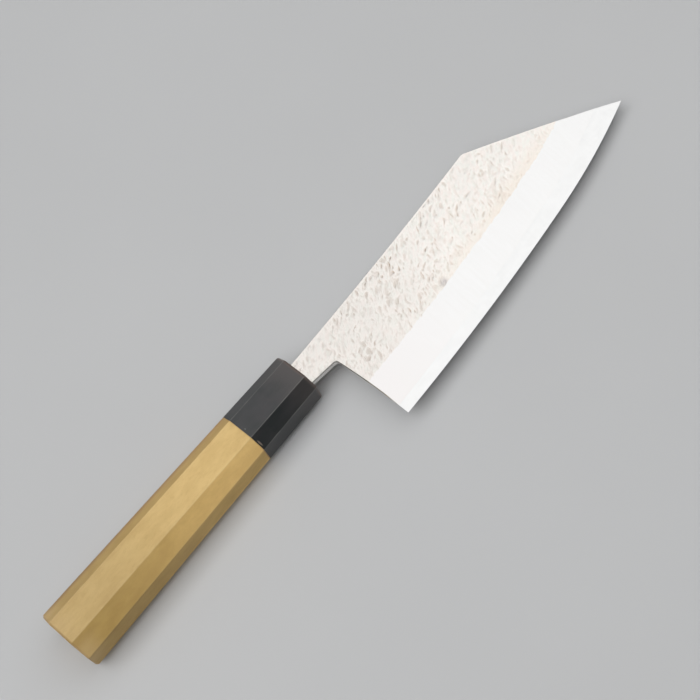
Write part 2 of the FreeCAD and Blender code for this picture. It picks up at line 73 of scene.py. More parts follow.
LIP = 0.012             # step from core to cladding that the stones leave
WAVER = 1.2             # how far hammer marks may push the bevel's upper line down
CLEAR = 9.0             # stands for a distance or a height that is out of reach
HONED_EDGE, HONED_RISE = 0.012, 0.27    # half thickness of the honed edge, and its slope
HONED_WIDTH = 0.2       # how far in the honed bevel reaches
ARC_POINTS, FACET_POINTS = 6, 5         # points on each corner and facet of the octagon


# ------------------------------------------------------------------ curves of the blade

def heading(angle):
    """Unit vectors along an angle, and to the right of it."""
    ahead = np.stack([np.cos(angle), np.sin(angle)], -1)
    right = np.stack([np.sin(angle), -np.cos(angle)], -1)
    return ahead, right


def right_turn(start, first, angles, radius):
    """A circular arc that starts at a place with one heading and turns to the right: its
    centre lies a radius to the right of the start, and each point a radius to the left of
    the centre as seen along that point's heading."""
    centre = start + radius * heading(first)[1]
    return centre - radius * heading(angles)[1]


def root(values, at):
    """Where a curve sampled along `at` passes through nought, by straight interpolation."""
    order = np.argsort(values)
    return float(np.interp(0.0, values[order], at[order]))


def edge_arcs():
    """Centres of the cutting edge's two arcs and where they join. With slope a at the join,
    the flat arc's centre is a radius above it and must also be a radius from the heel; the
    belly arc's centre lies on the same line, and the slope is right when it is a belly
    radius from the point."""
    slope = np.linspace(0.0, 0.2, 4001)
    cx = FLAT_END - FLAT_RADIUS * np.sin(slope)
    cy = HEEL[1] + np.sqrt(FLAT_RADIUS ** 2 - (HEEL[0] - cx) ** 2)
    join_y = cy - FLAT_RADIUS * np.cos(slope)
    bx, by = FLAT_END - BELLY_RADIUS * np.sin(slope), join_y + BELLY_RADIUS * np.cos(slope)
    miss = np.hypot(POINT[0] - bx, POINT[1] - by) - BELLY_RADIUS
    a = root(miss, slope)
    pick = [np.interp(a, slope, v) for v in (cx, cy, bx, by, join_y)]
    return np.array(pick[:2]), np.array(pick[2:4]), np.array([FLAT_END, pick[4]]), a


FLAT_CENTRE, BELLY_CENTRE, JOIN, JOIN_SLOPE = edge_arcs()


def on_belly(p):
    """Whether a place lies beyond the radius on which the edge's two arcs join."""
    return (p - JOIN) @ np.array([math.cos(JOIN_SLOPE), math.sin(JOIN_SLOPE)]) > 0


def inward(p):
    """Distance from the cutting edge into the blade: arc radius less distance to its centre."""
    flat = FLAT_RADIUS - np.linalg.norm(p - FLAT_CENTRE, axis=-1)
    belly = BELLY_RADIUS - np.linalg.norm(p - BELLY_CENTRE, axis=-1)
    return np.where(on_belly(p), belly, flat)


def side_height(x):
    """Half the blade's thickness: 1.4 at the heel, falling evenly to 1.0 at the corner of
    the spine and on to the point, and to 0.8 at the tang's end."""
    return HALF_AT_HEEL - np.where(x > HEEL[0], TAPER_AHEAD * (x - HEEL[0]),
                                   TAPER_BEHIND * (HEEL[0] - x))


def bevel_height(p):
    """Height of the ground bevel: nought at the run-out outside the edge, and the side's
    height at the bevel's width, in a straight line along each radius."""
    centre = np.where(on_belly(p)[..., None], BELLY_CENTRE, FLAT_CENTRE)
    radius = np.where(on_belly(p), BELLY_RADIUS, FLAT_RADIUS)
    reach = np.linalg.norm(p - centre, axis=-1)
    ridge_x = centre[..., 0] + (p[..., 0] - centre[..., 0]) * (radius - BEVEL) / reach
    return (inward(p) + RUN_OUT) * side_height(ridge_x) / (BEVEL + RUN_OUT)


def edge_curve(count):
    """Points along the cutting edge from heel to point, and the unit inward direction."""
    x = np.linspace(HEEL[0], POINT[0], count)
    flat = FLAT_CENTRE[1] - np.sqrt(FLAT_RADIUS ** 2 - (x - FLAT_CENTRE[0]) ** 2)
    belly = BELLY_CENTRE[1] - np.sqrt(BELLY_RADIUS ** 2 - (x - BELLY_CENTRE[0]) ** 2)
    p = np.stack([x, np.where(x > FLAT_END, belly, flat)], -1)
    centre = np.where((x > FLAT_END)[:, None], BELLY_CENTRE, FLAT_CENTRE)
    n = centre - p
    return p, n / np.linalg.norm(n, axis=1)[:, None]


def spine_curve():
    """Neck top, spine, rounded corner and clipped edge, as one line to the point. The spine
    is a shallow hollow arc; the corner turns right until the clip's long arc, whose centre
    lies a radius to its right, passes through the point."""
    chord = CORNER_START - np.array([HANDLE_LENGTH, NECK_TOP])
    half = np.linalg.norm(chord) / 2
    lean, bend = math.atan2(chord[1], chord[0]), math.asin(half / SPINE_RADIUS)
    angles = np.linspace(lean - bend, lean + bend, 200)
    centre = np.array([HANDLE_LENGTH, NECK_TOP]) - SPINE_RADIUS * heading(angles[:1])[1][0]
    spine = centre + SPINE_RADIUS * heading(angles)[1]
    turn = np.linspace(angles[-1], angles[-1] - 1.2, 400)
    corner = right_turn(CORNER_START, angles[-1], turn, CORNER_RADIUS)
    centres = corner + CLIP_RADIUS * heading(turn)[1]
    stop = root(np.linalg.norm(POINT - centres, axis=1) - CLIP_RADIUS, turn)
    corner = right_turn(CORNER_START, angles[-1], np.linspace(angles[-1], stop, 12), CORNER_RADIUS)
    reach = 2 * math.asin(np.linalg.norm(POINT - corner[-1]) / 2 / CLIP_RADIUS)
    clip = right_turn(corner[-1], stop, np.linspace(stop, stop - reach, 300), CLIP_RADIUS)
    return np.concatenate([spine, corner[1:], clip[1:]])


def heel_curve():
    """Neck's lower line, the choil's small right turn and the heel's long one, down to the
    heel. The choil stops where the heel's arc, a radius away, passes through the heel."""
    start = np.array([HANDLE_LENGTH, NECK_LOW])
    way = CHOIL_START - start
    first = math.atan2(way[1], way[0])
    stops = np.linspace(-1.4, -1.7, 2001)
    ends = right_turn(CHOIL_START, first, stops, CHOIL_RADIUS)
    centres = ends + HEEL_RADIUS * heading(stops)[1]
    stop = root(np.linalg.norm(HEEL - centres, axis=1) - HEEL_RADIUS, stops)
    choil = right_turn(CHOIL_START, first, np.linspace(first, stop, 14), CHOIL_RADIUS)
    reach = 2 * math.asin(np.linalg.norm(HEEL - choil[-1]) / 2 / HEEL_RADIUS)
    heel = right_turn(choil[-1], stop, np.linspace(stop, stop - reach, 120), HEEL_RADIUS)
    return np.stack([start, CHOIL_START]), choil, heel


def weld_curve():
    """The line where the stones reach the core: at each radius of the edge, the distance at
    which the bevel stands a lip above the core. It runs from the heel to the clipped edge."""
    p, n = edge_curve(3000)
    ridge = side_height((p + BEVEL * n)[:, 0])
    line = p + ((CORE + LIP) * (BEVEL + RUN_OUT) / ridge - RUN_OUT)[:, None] * n
    _, _, heel = heel_curve()
    heel_x = np.interp(line[:, 1], heel[::-1, 1], heel[::-1, 0])
    spine = spine_curve()
    spine_y = np.interp(line[:, 0], spine[:, 0], spine[:, 1])
    inside = (line[:, 0] > heel_x) & (line[:, 1] < spine_y)
    return line[inside]


def measured(line, count):
    """A line cut into equal steps of its own length."""
    run = np.concatenate([[0.0], np.cumsum(np.linalg.norm(np.diff(line, axis=0), axis=1))])
    at = np.linspace(0.0, run[-1], count + 1)
    return np.stack([np.interp(at, run, line[:, 0]), np.interp(at, run, line[:, 1])], -1)


def columns(lower_runs, upper_runs, counts):
    """Matching places on the lower and upper outline, run by run in equal steps."""
    lower = [measured(line, n)[:-1] for line, n in zip(lower_runs, counts)]
    upper = [measured(line, n)[:-1] for line, n in zip(upper_runs, counts)]
    return (np.concatenate(lower + [lower_runs[-1][-1:]]),
            np.concatenate(upper + [upper_runs[-1][-1:]]))


def cut_at(line, x):
    """The parts of a line before and after a place along X."""
    y = np.interp(x, line[:, 0], line[:, 1])
    here = np.array([[x, y]])
    before, after = line[line[:, 0] < x], line[line[:, 0] > x]
    return np.concatenate([before, here]), np.concatenate([here, after])


def crossing(lower, upper, distance):
    """How far up each column the distance from the edge reaches a value: a straight guess
    between the column's ends, then corrected three times by what is still missing."""
    low, high = inward(lower), inward(upper)
    share = (distance - low) / (high - low)
    for _ in range(3):
        missing = distance - inward(lower + share[:, None] * (upper - lower))
        share = share + missing / (high - low)
    return share


def eased(share):
    """A share from 0 to 1 that starts and ends gently: three squares less two cubes."""
    return share * share * (3 - 2 * share)


def settled(share, usual, least):
    """Keeps a crease inside its column, and where the crease has left the column lets its
    rows spread back to their usual share over the next thirty columns."""
    index = np.arange(len(share))
    inside = np.flatnonzero((share > least) & (share < 1 - least))
    past = np.maximum(inside[0] - index, index - inside[-1])
    relax = eased(np.clip(past / 30.0, 0.0, 1.0))
    return np.clip(share, least, 1 - least) * (1 - relax) + usual * relax


# ------------------------------------------------------------------ hammer marks

def leaned(p, lean, along, across):
    """Where places lie along and across a line that leans by an angle, in steps."""
    c, s = math.cos(lean), math.sin(lean)
    return (p[..., 0] * c + p[..., 1] * s) / along, (p[..., 1] * c - p[..., 0] * s) / across


def cell_noise(ix, iy, seed):
    """A repeatable number from 0 to 1 for each cell: the fraction of a large sine."""
    return np.mod(np.sin(ix * 127.1 + iy * 311.7 + seed * 74.7) * 43758.5453, 1.0)


def swell(p, seed, pitch, lean=0.0, long=1.0):
    """Slow unevenness from -1 to 1: cell values joined by a smooth blend over a grid that
    leans by an angle and is stretched along it."""
    u, v = leaned(p, lean, pitch * long, pitch)
    iu, iv = np.floor(u), np.floor(v)
    fu, fv = eased(u - iu), eased(v - iv)
    low = cell_noise(iu, iv, seed) * (1 - fu) + cell_noise(iu + 1, iv, seed) * fu
    high = cell_noise(iu, iv + 1, seed) * (1 - fu) + cell_noise(iu + 1, iv + 1, seed) * fu
    return 2 * (low * (1 - fv) + high * fv) - 1


def ripples(p, seed, lean):
    """Irregular long hollows from 0 to 1: two leaning swells, a coarse and a fine one, are
    added, and only what rises above their middle counts, smoothed at both ends."""
    coarse = swell(p, seed, pitch=1.25, lean=lean, long=2.6)
    small = swell(p, seed + 1, pitch=0.75, lean=lean + 0.25, long=2.2)
    return eased(np.clip((0.62 * coarse + 0.38 * small + 0.05) / 0.6, 0, 1))


def dents(p, seed, lean, pitch, length, width, filled):
    """Oval hammer marks, from 0 to 1 deep, one to a cell of a leaning grid, each moved,
    turned and sized at random; a share of the cells stays bare. A mark is a shallow bowl,
    one less the square of the distance from its middle, bent a little and steeper on one
    side. The deepest of the marks that overlap counts. Pitch is the cell's two sizes, length
    and width a mark's usual half sizes, and filled the share of cells with a mark."""
    u, v = leaned(p, lean, pitch[0], pitch[1])
    deepest = np.zeros(u.shape)
    for du in (-1, 0, 1):
        for dv in (-1, 0, 1):
            iu, iv = np.floor(u) + du, np.floor(v) + dv
            noise = [cell_noise(iu, iv, seed + k) for k in range(8)]
            a = (u - iu - 0.5 - 0.9 * (noise[0] - 0.5)) * pitch[0]
            b = (v - iv - 0.5 - 0.9 * (noise[1] - 0.5)) * pitch[1]
            turn = (noise[2] - 0.5) * 1.2
            along = (a * np.cos(turn) + b * np.sin(turn)) / (length * (0.45 + 0.9 * noise[3]))
            across = (b * np.cos(turn) - a * np.sin(turn)) / (width * (0.5 + 0.8 * noise[4]))
            across = across + (0.9 * noise[7] - 0.2) * along ** 2 - 0.15
            across = np.where(across < 0, across * 1.6, across)
            bowl = np.clip(1 - along ** 2 - across ** 2, 0, 1) ** 1.15
            deep = np.where(noise[6] < filled, 0.25 + 0.75 * noise[5], 0.0)
            deepest = np.maximum(deepest, bowl * deep)
    return deepest


def hammer_relief(p, seed):
    """Depth of the hammered finish in millimetres and a mask of its marks: broad strokes,
    ripples and small nicks, all leaning about fifty degrees from the spine, thickest round
    the middle of the blade, over a slow unevenness."""
    drift = np.stack([swell(p, seed + 60, 3.4), swell(p, seed + 61, 3.4)], -1)
    busy = 0.64 + 0.38 * np.exp(-((p[..., 0] - 185) / 40) ** 2) + 0.22 * swell(p, seed + 62, 11.0)
    strokes = dents(p + 0.8 * drift, seed, math.radians(52), pitch=(3.4, 1.9), length=2.1,
                    width=0.95, filled=0.72)
    nicks = dents(p + 0.5 * drift, seed + 30, math.radians(57), pitch=(2.1, 1.2), length=1.4,
                  width=0.55, filled=0.5)
    waves = ripples(p + 0.8 * drift, seed + 20, math.radians(50))
    roll = 0.6 * swell(p, seed + 40, 5.5) + 0.4 * swell(p, seed + 50, 2.6)
    depth = busy * (0.045 * strokes + 0.029 * waves + 0.020 * nicks) + 0.018 * (roll + 1)
    return depth, busy * np.maximum(np.maximum(strokes, 0.5 * waves), 0.6 * nicks)


def steep_banks(p, depth, seed):
    """Where the finish rises steeply towards the heel and the edge, from 0 to 1: the fall
    of the depth over a seventh of a millimetre that way, from gentle to one in five."""
    step = 0.14
    beyond, _ = hammer_relief(p + step * np.array([0.79, -0.62]), seed)
    return np.clip(((depth - beyond) / step - 0.03) / 0.17, 0, 1)


# ------------------------------------------------------------------ meshes

def placed(name, data):
    """A new object for a mesh, lamp or camera, linked to the scene."""
    holder = bpy.data.objects.new(name, data)
    bpy.context.scene.collection.objects.link(holder)
    return holder


def signed_volume(co, tris):
    """Six times the volume that triangles close in, below nought when they face inwards:
    the sum of each one's first corner along the cross product of the other two."""
    a, b, c = co[tris[:, 0]], co[tris[:, 1]], co[tris[:, 2]]
    return float(np.einsum("ij,ij->i", a, np.cross(b, c)).sum())


def closed_mesh(name, rings, marks=None, joined=False):
    """A closed surface over rings of points. Neighbouring rings are joined by four-sided
    faces; the first and last either close on a middle point each, or join each other. Marks
    are numbers for each point of the rings, kept as attributes."""
    n, m = rings.shape[:2]
    co = rings.reshape(-1, 3)
    i, j = np.meshgrid(np.arange(n if joined else n - 1), np.arange(m), indexing="ij")
    i, j = i.ravel(), j.ravel()
    nxt, side = (i + 1) % n, (j + 1) % m
    quads = np.stack([i * m + j, i * m + side, nxt * m + side, nxt * m + j], -1)
    tris = np.zeros((0, 3), int)
    if not joined:
        co = np.concatenate([co, rings[0].mean(0)[None], rings[-1].mean(0)[None]])
        k = np.arange(m)
        first = np.stack([np.full(m, n * m), (k + 1) % m, k], -1)
        last = np.stack([np.full(m, n * m + 1), (n - 1) * m + k, (n - 1) * m + (k + 1) % m], -1)
        tris = np.concatenate([first, last])
    halves = np.concatenate([quads[:, [0, 1, 2]], quads[:, [0, 2, 3]], tris])
    if signed_volume(co, halves) < 0:
        quads, tris = quads[:, ::-1], tris[:, ::-1]
    mesh = bpy.data.meshes.new(name)
    mesh.vertices.add(len(co))
    mesh.vertices.foreach_set("co", (co * MM).astype(np.float32).ravel())
    corners = np.concatenate([quads.ravel(), tris.ravel()])
    mesh.loops.add(len(corners))
    mesh.loops.foreach_set("vertex_index", corners.astype(np.int32))
    mesh.polygons.add(len(quads) + len(tris))
    starts = np.concatenate([np.arange(len(quads)) * 4, quads.size + np.arange(len(tris)) * 3])
    mesh.polygons.foreach_set("loop_start", starts.astype(np.int32))
    mesh.update(calc_edges=True)
    for key, values in (marks or {}).items():
        values = values.reshape(n * m)
        if not joined:
            values = np.concatenate([values, values[:1], values[-1:]])
        layer = mesh.attributes.new(key, "FLOAT", "POINT")
        layer.data.foreach_set("value", values.astype(np.float32))
    mesh.shade_smooth()
    mesh.set_sharp_from_angle(angle=math.radians(24))
    return placed(name, mesh)


def finished(piece, node, material):
    """The piece stands for a node of the frame and takes its material."""
    piece.data.materials.append(material)
    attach(piece, "root")
    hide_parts(node)
    return piece


# ------------------------------------------------------------------ blade pieces

def tang_columns():
    """Lower and upper outline of tang, shoulder and inset, up to the ferrule's face. The
    tang's half width grows evenly to the shoulder, and the neck begins a hundredth of a
    millimetre further on, so no two columns share a place."""
    x = np.array([TANG_END, 77.0, 102.0, SHOULDER, SHOULDER, 129.0])
    half = TANG_HALF + TANG_GROWTH * (x - TANG_END) / (SHOULDER - TANG_END)
    neck = np.arange(6) >= 4
    low, high = np.where(neck, NECK_LOW, -half), np.where(neck, NECK_TOP, half)
    x = x + np.where(np.arange(6) == 4, 0.01, 0.0)
    return np.stack([x, low], -1), np.stack([x, high], -1)


def blade_columns(heel, edge, cuts, counts):
    """Lower and upper outline of a blade piece, from the tang's end. Below lie the neck and
    half the choil, the other half and the heel, and the edge; above, the spine and clipped
    edge are cut into as many runs at places along X. Counts are the columns in each run."""
    neck, choil, _ = heel_curve()
    middle = len(choil) // 2
    below = [np.concatenate([neck, choil[1:middle]]),
             np.concatenate([choil[middle - 1:], heel[1:]]), edge]
    above, rest = [], spine_curve()
    for x in cuts:
        run, rest = cut_at(rest, x)
        above.append(run)
    lower, upper = columns(below, (above + [rest])[:3], counts)
    low_tang, high_tang = tang_columns()
    return np.concatenate([low_tang, lower]), np.concatenate([high_tang, upper])


def behind_heel(place):
    """Whether a place lies on the neck or tang, where nothing is ground."""
    return place[..., 0] < HEEL[0] - 2


def rim_height(place):
    """How high the blade stands at its outline: its side, or the bevel where that is lower."""
    side = side_height(place[:, 0])
    return np.where(behind_heel(place), side, np.minimum(side, bevel_height(place)))


def directions(line):
    """Unit vectors along a line at each of its points."""
    way = np.gradient(line, axis=0)
    return way / np.maximum(np.linalg.norm(way, axis=1)[:, None], 1e-9)


def inset(place, towards, depth):
    """Moves the points of an outline into the piece along their columns, each far enough
    that it lies a depth away from the outline, but no more than 2.2 times the depth."""
    way = towards - place
    way = way / np.linalg.norm(way, axis=1)[:, None]
    along = directions(place)
    off = np.abs(way[:, 0] * along[:, 1] - way[:, 1] * along[:, 0])
    return place + way * (depth / np.clip(off, 0.45, 1.0))[:, None]


def hammer_strength(face, above, to_rim):
    """How strongly the finish is hammered, from 0 to 1: nought well below the bevel line, six
    tenths on it and full 2 mm above it; nought inside the ferrule and full 1 mm in front of
    it; a seventh at a free rim and full 0.6 mm from it."""
    at_line = np.clip((above + WAVER) / 0.5, 0, 1) * np.clip(0.6 + above / 5, 0.6, 1)
    at_neck = np.clip((face[..., 0] - (HANDLE_LENGTH - 1.0)) / 2.0, 0, 1)
    return at_line * at_neck * np.clip((to_rim + 0.1) / 0.7, 0, 1)


def cladding(name, node, seed, side, material):
    """One soft layer. Columns run from the lower outline (neck, choil, heel, weld line) to
    the spine and clipped edge; each closes over its back, its outer face and its eased rims.
    The outer face is the lower of the hammered side and the bevel, so the bevel's upper
    line wavers where it cuts into the marks."""
    counts = (44, 100, 540)
    above_choil, above_foot = 146.4, 170.0
    weld = weld_curve()[:-6]        # it ends where hardly any of the layer is left
    heel = heel_curve()[2]
    heel = np.concatenate([heel[heel[:, 1] > weld[0, 1]], weld[:1]])
    lower, upper = blade_columns(heel, weld, (above_choil, above_foot, weld[-1, 0]), counts)
    welded = np.arange(len(lower)) >= len(lower) - counts[-1] - 1

    low_top, high_top = rim_height(lower), rim_height(upper)
    low_rim = np.where(welded, THIN, np.clip(0.6 * (low_top - CORE), THIN, RIM))
    low_drop = np.where(welded, 0.0, low_rim)
    high_rim = np.clip(0.8 * (high_top - CORE), THIN, RIM)
    high_drop = np.minimum(high_rim, 0.6 * (high_top - CORE))
    low_in, high_in = inset(lower, upper, low_rim), inset(upper, lower, high_rim)

    bevel_rows, side_rows = 8, 114
    usual = bevel_rows / (bevel_rows + side_rows)
    ridge = settled(crossing(low_in, high_in, BEVEL - WAVER), usual, 0.02)[:, None]
    up = 1 - (1 - np.linspace(0, 1, bevel_rows + 1)) ** 1.5
    on = np.linspace(0, 1, side_rows + 1)[1:]
    shares = np.concatenate([up * ridge, ridge + (1 - ridge) * on], 1)
    face = low_in[:, None] + shares[..., None] * (high_in - low_in)[:, None]

    above = np.where(behind_heel(face), CLEAR, inward(face) - BEVEL)
    to_rim = np.minimum(shares, 1 - shares) * np.linalg.norm(high_in - low_in, axis=1)[:, None]
    to_rim = np.where(welded[:, None] & (shares < 0.5), CLEAR, to_rim)
    strength = hammer_strength(face, above, to_rim)
    depth, dent = hammer_relief(face, seed)
    flat = side_height(face[..., 0]) - strength * depth
    ground = np.where(behind_heel(face), CLEAR, bevel_height(face))
    on_side = np.clip((ground - flat) / 0.008 + 0.5, 0, 1)

    back = np.full(len(lower), CORE)
    rings = np.concatenate([
        np.stack([np.c_[lower, back], np.c_[lower, low_top - low_drop]], 1),
        np.concatenate([face, np.minimum(flat, ground)[..., None]], -1),
        np.stack([np.c_[upper, high_top - high_drop], np.c_[upper, back]], 1)], 1)
    rings[..., 2] *= side
    rim = np.zeros((len(lower), 2))
    marks = {
        # hammer_mark and mark_bank hold the marks and their steep banks, which the soft steel
        # darkens as painted shade
        "hammer_mark": np.concatenate([rim, strength * dent, rim], 1),
        "mark_bank": np.concatenate([rim, strength * steep_banks(face, depth, seed), rim], 1),
        "above_bevel": np.concatenate([rim, np.clip(above, 0, 20), rim + 20], 1),
        "hammered_side": np.concatenate([rim + 1, on_side, rim + 1], 1),
    }
    return finished(closed_mesh(name, rings, marks), node, material)


def hard_core(name, node, material):
    """The core: half its thickness is the least of the plate, the ground bevel and the honed
    bevel, mirrored below the middle plane. Its columns run from neck, choil, heel and
    cutting edge to spine and clipped edge, with rows at the honed bevel's top and where the
    ground bevel reaches the plate."""
    edge, _ = edge_curve(1200)
    above_choil, above_foot = 146.2, 152.0
    lower, upper = blade_columns(heel_curve()[2], edge, (above_choil, above_foot), (14, 50, 420))
    for outline in (lower, upper):      # the point is blunted by a twelfth of a column
        outline[-1] += 0.08 * (outline[-2] - outline[-1])
    length = np.linalg.norm(upper - lower, axis=1)
    plate = CORE * (BEVEL + RUN_OUT) / side_height(lower[:, 0] - 1) - RUN_OUT
    reach = settled(crossing(lower, upper, plate), 0.7, 0.03)[:, None]
    hone = np.clip(HONED_WIDTH / length, 0, 0.02)[:, None]
    rows = np.linspace(0, 1, 14)
    shares = np.concatenate([0 * hone, hone, hone + (reach - hone) * rows[1:],
                             reach + (1 - reach) * rows[4::4]], 1)
    shares[:, -1] = 1.0
    face = lower[:, None] + shares[..., None] * (upper - lower)[:, None]
    honed = HONED_EDGE + HONED_RISE * np.maximum(inward(face), 0)
    half = np.minimum(CORE, np.minimum(bevel_height(face), honed))
    half = np.where(behind_heel(face), CORE, np.maximum(half, 0.01))
    top = np.concatenate([face, half[..., None]], -1)
    under = np.concatenate([face, -half[..., None]], -1)[:, ::-1]
    rings = np.concatenate([top, under], 1)
    fresh = np.where(behind_heel(face), 0.0, np.clip(1 - inward(face) / 0.22, 0, 1))
    marks = {"honed_edge": np.concatenate([fresh, fresh[:, ::-1]], 1)}
    return finished(closed_mesh(name, rings, marks), node, material)


# ------------------------------------------------------------------ handle pieces

def octagon_ring(x, shrink, soft):
    """The handle's octagon at a place along X, shrunk by a distance and with its eight
    corners rounded. Its sizes run evenly from butt to front; each corner is where two
    neighbouring facet lines meet, and is replaced by an arc that touches both. A facet's own
    points run evenly from 0.12 beyond one arc to 0.12 before the next."""
    share = x / HANDLE_LENGTH
    wide, thick, flat, upright = (BUTT[key] + (FRONT[key] - BUTT[key]) * share for key in BUTT)
    lean = math.atan2(wide - flat, thick - upright)
    slant = (wide * thick - flat * upright) / 2 / math.hypot(wide - flat, thick - upright)
    angles = np.array([0.0, math.pi / 2 - lean, math.pi / 2, math.pi / 2 + lean])
    angles = np.concatenate([angles, angles + math.pi])
    reach = np.array([wide / 2, slant, thick / 2, slant] * 2) - shrink
    normal = np.stack([np.cos(angles), np.sin(angles)], -1)
    after, far = np.roll(normal, -1, 0), np.roll(reach, -1)
    area = normal[:, 0] * after[:, 1] - normal[:, 1] * after[:, 0]
    corner = np.stack([reach * after[:, 1] - far * normal[:, 1],
                       far * normal[:, 0] - reach * after[:, 0]], -1) / area[:, None]
    centre = corner - soft * (normal + after) / (1 + (normal * after).sum(1))[:, None]
    step = np.linspace(0, 1, ARC_POINTS)
    sweep = angles[:, None] + np.mod(np.roll(angles, -1) - angles, 2 * math.pi)[:, None] * step
    arc = centre[:, None] + soft * np.stack([np.cos(sweep), np.sin(sweep)], -1)
    ends = np.stack([arc[:, -1], np.roll(arc[:, 0], -1, 0)], 1)
    near = 0.12 / np.linalg.norm(ends[:, 1] - ends[:, 0], axis=1)[:, None, None]
    steps = np.linspace(0, 1, FACET_POINTS)[None, :, None]
    between = ends[:, :1] + (near + (1 - 2 * near) * steps) * (ends[:, 1:] - ends[:, :1])
    ring = np.concatenate([arc, between], 1).reshape(-1, 2)
    return np.concatenate([np.full((len(ring), 1), x), ring], 1)


def arris_marks(count, outside):
    """One on the rounded corners of each outside ring, nought on its facets and elsewhere."""
    one = np.tile(np.concatenate([np.ones(ARC_POINTS), np.zeros(FACET_POINTS)]), 8)
    marks = np.zeros((count, len(one)))
    marks[outside] = one
    return {"arris": marks}


def round_ring(x, radius, like):
    """A circle whose points face the same way as those of an octagon ring."""
    way = like[:, 1:] / np.linalg.norm(like[:, 1:], axis=1)[:, None]
    return np.concatenate([np.full((len(way), 1), x), way * radius], 1)


def mouth_ring(x, like):
    """The ferrule's slot as a ring: each point is where its direction leaves the slot, and
    the one nearest to each corner moves on to it."""
    way = like[:, 1:] / np.linalg.norm(like[:, 1:], axis=1)[:, None]
    low, high, half = MOUTH
    y_room = np.where(way[:, 0] > 0, high, -low) / np.maximum(np.abs(way[:, 0]), 1e-6)
    z_room = half / np.maximum(np.abs(way[:, 1]), 1e-6)
    ring = way * np.minimum(y_room, z_room)[:, None]
    corners = np.array([(low, -half), (low, half), (high, -half), (high, half)])
    ring[np.argmin(np.linalg.norm(ring[:, None] - corners, axis=2), axis=0)] = corners
    return np.concatenate([np.full((len(way), 1), x), ring], 1)


def wooden_body(material):
    """The handle's wood: butt face, softened chamfer, tapered facets, joint face and bore.
    Butt, run and joint are places along X with how far the octagon is shrunk there."""
    middle = octagon_ring(0.0, 0.95, 0.2)
    inner = [middle * np.array([1, k, k]) for k in (0.3, 0.7, 0.96)]
    butt = [(0.0, 0.95), (0.02, 0.86), (0.12, 0.72), (0.72, 0.12), (0.86, 0.02), (1.0, 0.0)]
    run = [(x, 0.0) for x in np.linspace(4.0, JOINT_X - 3.0, 34)]
    joint = [(JOINT_X - 0.12, 0.0), (JOINT_X - 0.04, 0.03), (JOINT_X, 0.09)]
    outer = [octagon_ring(x, shrink, 0.4) for x, shrink in butt + run + joint]
    bore = [round_ring(x, BORE_RADIUS, middle) for x in (JOINT_X, 80.0, BODY_BORE_END)]
    rings = np.stack(inner + outer + bore)
    marks = arris_marks(len(rings), slice(len(inner), -len(bore)))
    return finished(closed_mesh("wooden_body", rings, marks), "handle_body", material)


def horn_ferrule(material):
    """The ferrule: joint face, tapered facets, rounded front rim, front face, slot and bore,
    as one tube that closes on itself."""
    soft = 0.28
    rear = [(JOINT_X, 0.07), (JOINT_X + 0.05, 0.02), (JOINT_X + 0.14, 0.0)]
    run = [(x, 0.0) for x in np.linspace(JOINT_X + 2.0, HANDLE_LENGTH - 2.5, 12)]
    turn = np.linspace(0, math.pi / 2, 8)
    rim = [(HANDLE_LENGTH - 1.0 + math.sin(a), 1.0 - math.cos(a)) for a in turn]
    outer = [octagon_ring(x, shrink, soft) for x, shrink in rear + run + rim]
    front = octagon_ring(HANDLE_LENGTH, 1.25, soft)
    like = octagon_ring(JOINT_X, 0.05, soft)
    slot = [mouth_ring(x, like) for x in (HANDLE_LENGTH, SLOT_REAR, FERRULE_BORE_END)]
    bore = [round_ring(x, BORE_RADIUS, like) for x in (FERRULE_BORE_END, 112.0, JOINT_X)]
    rings = np.stack(outer + [front] + slot + bore)
    marks = arris_marks(len(rings), slice(len(outer)))
    return finished(closed_mesh("horn_ferrule", rings, marks, joined=True),
                    "ferrule", material)


# ------------------------------------------------------------------ shader helpers

def connect(tree, socket, value):
    """Links an output to an input, or sets a plain value there; a colour is three numbers."""
    if isinstance(value, bpy.types.NodeSocket):
        tree.links.new(value, socket)
    else:
        socket.default_value = (*value, 1.0) if socket.type == "RGBA" else value


def put(tree, kind, settings=None, **inputs):
    """Adds a node. Names of inputs use _ for spaces, and in1, in2 pick inputs by place."""
    node = tree.nodes.new("ShaderNode" + kind)
    for key, value in (settings or {}).items():
        setattr(node, key, value)
    for key, value in inputs.items():
        by_place = key[:2] == "in" and key[2:].isdigit()
        connect(tree, node.inputs[int(key[2:]) if by_place else key.replace("_", " ")], value)
    return node


def calc(tree, operation, first, second=0.0, clamp=False):
    """One step of arithmetic on a value, or on two."""
    settings = {"operation": operation, "use_clamp": clamp}
    return put(tree, "Math", settings, in0=first, in1=second).outputs[0]


def times(tree, first, *others):
    """Values multiplied together."""
    for other in others:
        first = calc(tree, "MULTIPLY", first, other)
    return first


def plus(tree, first, second):
    """Two values added together."""
    return calc(tree, "ADD", first, second)


def spread(tree, value, low, high, to_low=0.0, to_high=1.0):
    """Stretches a value from one range to another, gently and held at its ends."""
    return put(tree, "MapRange", {"interpolation_type": "SMOOTHSTEP"}, Value=value, From_Min=low,
               From_Max=high, To_Min=to_low, To_Max=to_high).outputs[0]


def blend(tree, share, first, second, kind="MIX"):
    """One colour passing into a second by a share from 0 to 1, or multiplied by it."""
    settings = {"data_type": "RGBA", "blend_type": kind}
    return put(tree, "Mix", settings, in0=share, in6=first, in7=second).outputs[2]


def layered(tree, colour, *layers):
    """Lays colours over one in turn; each layer is its share and its own colour."""
    for share, over in layers:
        colour = blend(tree, share, colour, over)
    return colour


